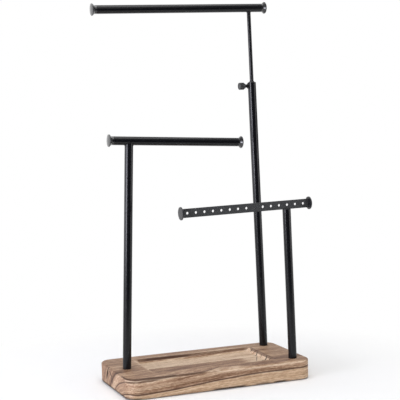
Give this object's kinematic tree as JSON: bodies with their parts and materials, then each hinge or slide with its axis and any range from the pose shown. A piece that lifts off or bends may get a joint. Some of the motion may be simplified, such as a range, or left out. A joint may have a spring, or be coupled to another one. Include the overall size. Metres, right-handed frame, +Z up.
{
  "type": "jewellery stand",
  "caption": "Free-standing jewellery stand: wooden block with a shallow tray, T-shaped metal hangers of different heights, a flat pierced earring bar, and a height-adjustable top bar.",
  "frame": {"origin": "middle of the plane the stand rests on, under the middle of the wooden block; the block's underside is 0.8 mm above it, because the pads stand out by that much", "axes": "+X along the block towards the mast's end, -Y the front, +Z up"},
  "size_m": [0.2356, 0.114, 0.4477],
  "materials": {
    "wood": "open-grained, clear matt finish, sanded edges",
    "pad": "matt",
    "coated_tube": "satin black powder coat",
    "coated_cap": "satin black powder coat",
    "flat_bar": "matt dark grey powder coat",
    "black_knob": "knurled, black",
    "plastic": "moulded nylon, black",
    "steel": "zinc plated",
    "dark_steel": "blackened"
  },
  "bodies": {
    "stand": {"wood_base": "wood", "base_pads": "pad", "left_post": "coated_tube", "left_post_plug": "steel", "left_bar": "coated_tube", "left_bar_cap_left": "coated_cap", "left_bar_cap_right": "coated_cap", "mast_tube": "coated_tube", "mast_plug": "steel", "mast_guide_bush": "plastic", "clamp_nut": "dark_steel", "front_post": "coated_tube", "front_post_plug": "steel", "front_post_cap": "coated_cap", "earring_bar": "flat_bar", "earring_bar_disc_left": "coated_cap", "earring_bar_disc_right": "coated_cap", "foot_screws": "steel", "foot_washers": "steel"},
    "slider": {"rod_sleeve": "plastic"},
    "top_arm": {"height_rod": "coated_tube", "top_bar": "coated_tube", "top_bar_cap_left": "coated_cap", "top_bar_cap_right": "coated_cap"},
    "clamp_screw": {"clamp_stud": "dark_steel", "clamp_knob": "black_knob"}
  },
  "joints": [
    {"name": "mast_height", "type": "slide", "parent": "stand", "child": "slider", "axis": [-0.0262, 0, 0.9997], "range_m": [-0.082, 0]},
    {"name": "top_bar_swivel", "type": "hinge", "parent": "slider", "child": "top_arm", "pos_m": [0.096, 0.04, 0.0233], "axis": [-0.0262, 0, 0.9997], "continuous": true},
    {"name": "clamp_turn", "type": "hinge", "parent": "stand", "child": "clamp_screw", "pos_m": [0.08755, 0.04, 0.34579], "axis": [-0.9997, 0, -0.0262], "range_deg": [0, 360]}
  ]
}
